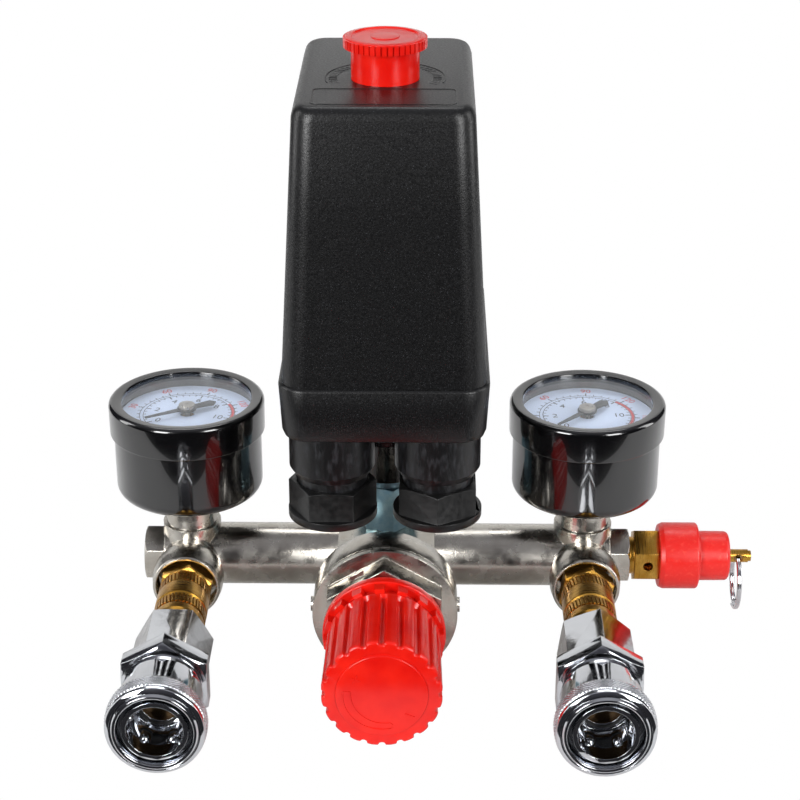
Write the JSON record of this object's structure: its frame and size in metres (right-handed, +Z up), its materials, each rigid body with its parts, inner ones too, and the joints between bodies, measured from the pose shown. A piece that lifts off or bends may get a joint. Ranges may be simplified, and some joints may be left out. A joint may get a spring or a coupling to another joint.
{
  "type": "air compressor pressure switch",
  "caption": "Air-compressor pressure switch on a nickel manifold with gauges, a knob-set regulator, quick couplers and a ring-pull safety valve.",
  "frame": {"origin": "centre of the tank port's mouth, under the middle of the manifold", "axes": "+Z up through the switch, -Y to the front where the couplers and the knob point, +X to the right along the manifold towards the safety valve"},
  "size_m": [0.2225, 0.1625, 0.212],
  "materials": {
    "nickel": "satin nickel plating on brass and zinc",
    "zinc_blue": "blue-passivated zinc plating on steel",
    "black_enamel": "black gloss enamel on pressed steel",
    "rubber": "nitrile rubber",
    "yellow_zinc": "yellow-passivated zinc plating on steel",
    "black_abs": "moulded black ABS, fine grain",
    "cream_bakelite": "moulded phenolic",
    "copper_alloy": "turned copper alloy",
    "plain_steel": "plain turned steel",
    "spring_steel": "hard-drawn spring wire",
    "red_abs": "moulded red ABS, gloss",
    "black_nylon": "moulded black nylon",
    "brass": "turned brass",
    "bright_chrome": "bright nickel-chrome plating",
    "lens_glass": "flat clear glass",
    "dial_enamel": "white printed enamel on aluminium",
    "pointer_black": "black lacquer on aluminium",
    "ring_steel": "nickel-plated spring wire"
  },
  "bodies": {
    "root": {"manifold": "nickel", "end_plug": "nickel", "switch_adapter": "zinc_blue", "pressure_flange": "black_enamel", "switch_diaphragm": "rubber", "switch_base": "black_abs", "switch_cover": "black_abs", "terminal_block": "cream_bakelite", "terminal_screws": "yellow_zinc", "lever_pin": "plain_steel", "range_spring": "spring_steel", "range_screw": "yellow_zinc", "gland_nuts": "black_nylon", "gland_seals": "rubber", "gauge_case_left": "black_enamel", "gauge_case_right": "black_enamel", "gauge_bezel_left": "black_enamel", "gauge_bezel_right": "black_enamel", "gauge_lens_left": "lens_glass", "gauge_lens_right": "lens_glass", "gauge_dial_left": "dial_enamel", "gauge_dial_right": "dial_enamel", "gauge_sockets": "brass", "bourdon_tubes": "brass", "nipple_left": "brass", "nipple_right": "brass", "coupler_body_left": "bright_chrome", "coupler_body_right": "bright_chrome", "sleeve_spring_left": "spring_steel", "sleeve_spring_right": "spring_steel", "valve_spring_left": "spring_steel", "valve_spring_right": "spring_steel", "lock_balls": "bright_chrome", "regulator_bonnet": "nickel", "regulator_diaphragm": "rubber", "regulator_spring": "spring_steel", "poppet_spring": "spring_steel", "safety_body": "brass", "safety_cap": "red_abs", "safety_spring": "spring_steel"},
    "button": {"switch_button": "red_abs", "button_rod": "plain_steel"},
    "contacts": {"contact_bridge": "copper_alloy"},
    "piston": {"pressure_piston": "yellow_zinc"},
    "lever": {"pressure_lever": "plain_steel"},
    "screw": {"adjusting_screw": "plain_steel"},
    "nut": {"spring_nut": "yellow_zinc"},
    "knob": {"regulator_knob": "red_abs"},
    "poppet": {"regulator_poppet": "brass"},
    "relief_stem": {"safety_stem": "brass"},
    "ring": {"pull_ring": "ring_steel"},
    "pointer_left": {"pointer_left": "pointer_black"},
    "sector_left": {"sector_gear_left": "brass"},
    "sleeve_left": {"coupler_sleeve_left": "bright_chrome"},
    "valve_left": {"coupler_valve_left": "copper_alloy"},
    "pointer_right": {"pointer_right": "pointer_black"},
    "sector_right": {"sector_gear_right": "brass"},
    "sleeve_right": {"coupler_sleeve_right": "bright_chrome"},
    "valve_right": {"coupler_valve_right": "copper_alloy"}
  },
  "joints": [
    {"name": "button_travel", "type": "slide", "parent": "root", "child": "button", "axis": [0, 0, 1], "range_m": [-0.008, 0]},
    {"name": "contact_travel", "type": "slide", "parent": "root", "child": "contacts", "axis": [0, 0, 1], "range_m": [-0.002, 0]},
    {"name": "piston_travel", "type": "slide", "parent": "root", "child": "piston", "axis": [0, 0, 1], "range_m": [0, 0.0015], "stiffness_N_per_m": 500, "springref_m": -0.002},
    {"name": "lever_tilt", "type": "hinge", "parent": "root", "child": "lever", "pos_m": [0, 0.025, 0.098], "axis": [-1, 0, 0], "range_deg": [0, 3.5], "deforming": ["range_spring"]},
    {"name": "sector_left_turn", "type": "hinge", "parent": "root", "child": "sector_left", "pos_m": [-0.06825, 0.0162, 0.0665], "axis": [0, 0, 1], "range_deg": [0, 42.4], "stiffness_Nm_per_rad": 0.0008, "springref_deg": -1.72},
    {"name": "pointer_left_turn", "type": "hinge", "parent": "root", "child": "pointer_left", "pos_m": [-0.06825, 0, 0.077], "axis": [0, 0, -1], "range_deg": [0, 270]},
    {"name": "sector_right_turn", "type": "hinge", "parent": "root", "child": "sector_right", "pos_m": [0.06825, 0.0162, 0.0665], "axis": [0, 0, 1], "range_deg": [0, 42.4], "stiffness_Nm_per_rad": 0.0008, "springref_deg": -1.72},
    {"name": "pointer_right_turn", "type": "hinge", "parent": "root", "child": "pointer_right", "pos_m": [0.06825, 0, 0.077], "axis": [0, 0, -1], "range_deg": [0, 270]},
    {"name": "screw_turn", "type": "hinge", "parent": "root", "child": "screw", "pos_m": [0, -0.06, 0.022], "axis": [0, 1, 0], "range_deg": [-720, 720]},
    {"name": "nut_travel", "type": "slide", "parent": "root", "child": "nut", "axis": [0, 1, 0], "range_m": [-0.0031, 0.0031], "deforming": ["regulator_spring"]},
    {"name": "knob_pull", "type": "slide", "parent": "screw", "child": "knob", "axis": [0, -1, 0], "range_m": [0, 0.003]},
    {"name": "poppet_travel", "type": "slide", "parent": "root", "child": "poppet", "axis": [0, 1, 0], "range_m": [0, 0.001], "stiffness_N_per_m": 300, "springref_m": -0.003, "deforming": ["poppet_spring"]},
    {"name": "sleeve_left_pull", "type": "slide", "parent": "root", "child": "sleeve_left", "axis": [0, 1, 0], "range_m": [0, 0.0034], "stiffness_N_per_m": 400, "springref_m": -0.004, "deforming": ["sleeve_spring_left"]},
    {"name": "valve_left_push", "type": "slide", "parent": "root", "child": "valve_left", "axis": [0, 1, 0], "range_m": [0, 0.004], "stiffness_N_per_m": 200, "springref_m": -0.004, "deforming": ["valve_spring_left"]},
    {"name": "sleeve_right_pull", "type": "slide", "parent": "root", "child": "sleeve_right", "axis": [0, 1, 0], "range_m": [0, 0.0034], "stiffness_N_per_m": 400, "springref_m": -0.004, "deforming": ["sleeve_spring_right"]},
    {"name": "valve_right_push", "type": "slide", "parent": "root", "child": "valve_right", "axis": [0, 1, 0], "range_m": [0, 0.004], "stiffness_N_per_m": 200, "springref_m": -0.004, "deforming": ["valve_spring_right"]},
    {"name": "relief_pull", "type": "slide", "parent": "root", "child": "relief_stem", "axis": [1, 0, 0], "range_m": [0, 0.003], "stiffness_N_per_m": 2000, "springref_m": -0.003, "deforming": ["safety_spring"]},
    {"name": "ring_swing", "type": "hinge", "parent": "relief_stem", "child": "ring", "pos_m": [0.1232, 0, 0.022], "axis": [0, -1, 0], "range_deg": [-10, 90]}
  ],
  "couplings": [
    {"joint": "contact_travel", "follows": "button_travel", "ratio": 0.25},
    {"joint": "lever_tilt", "follows": "piston_travel", "rad_per_m": 40},
    {"joint": "nut_travel", "follows": "screw_turn", "m_per_rad": 0.00023873},
    {"joint": "pointer_left_turn", "follows": "sector_left_turn", "ratio": 6.3636},
    {"joint": "pointer_right_turn", "follows": "sector_right_turn", "ratio": 6.3636}
  ]
}
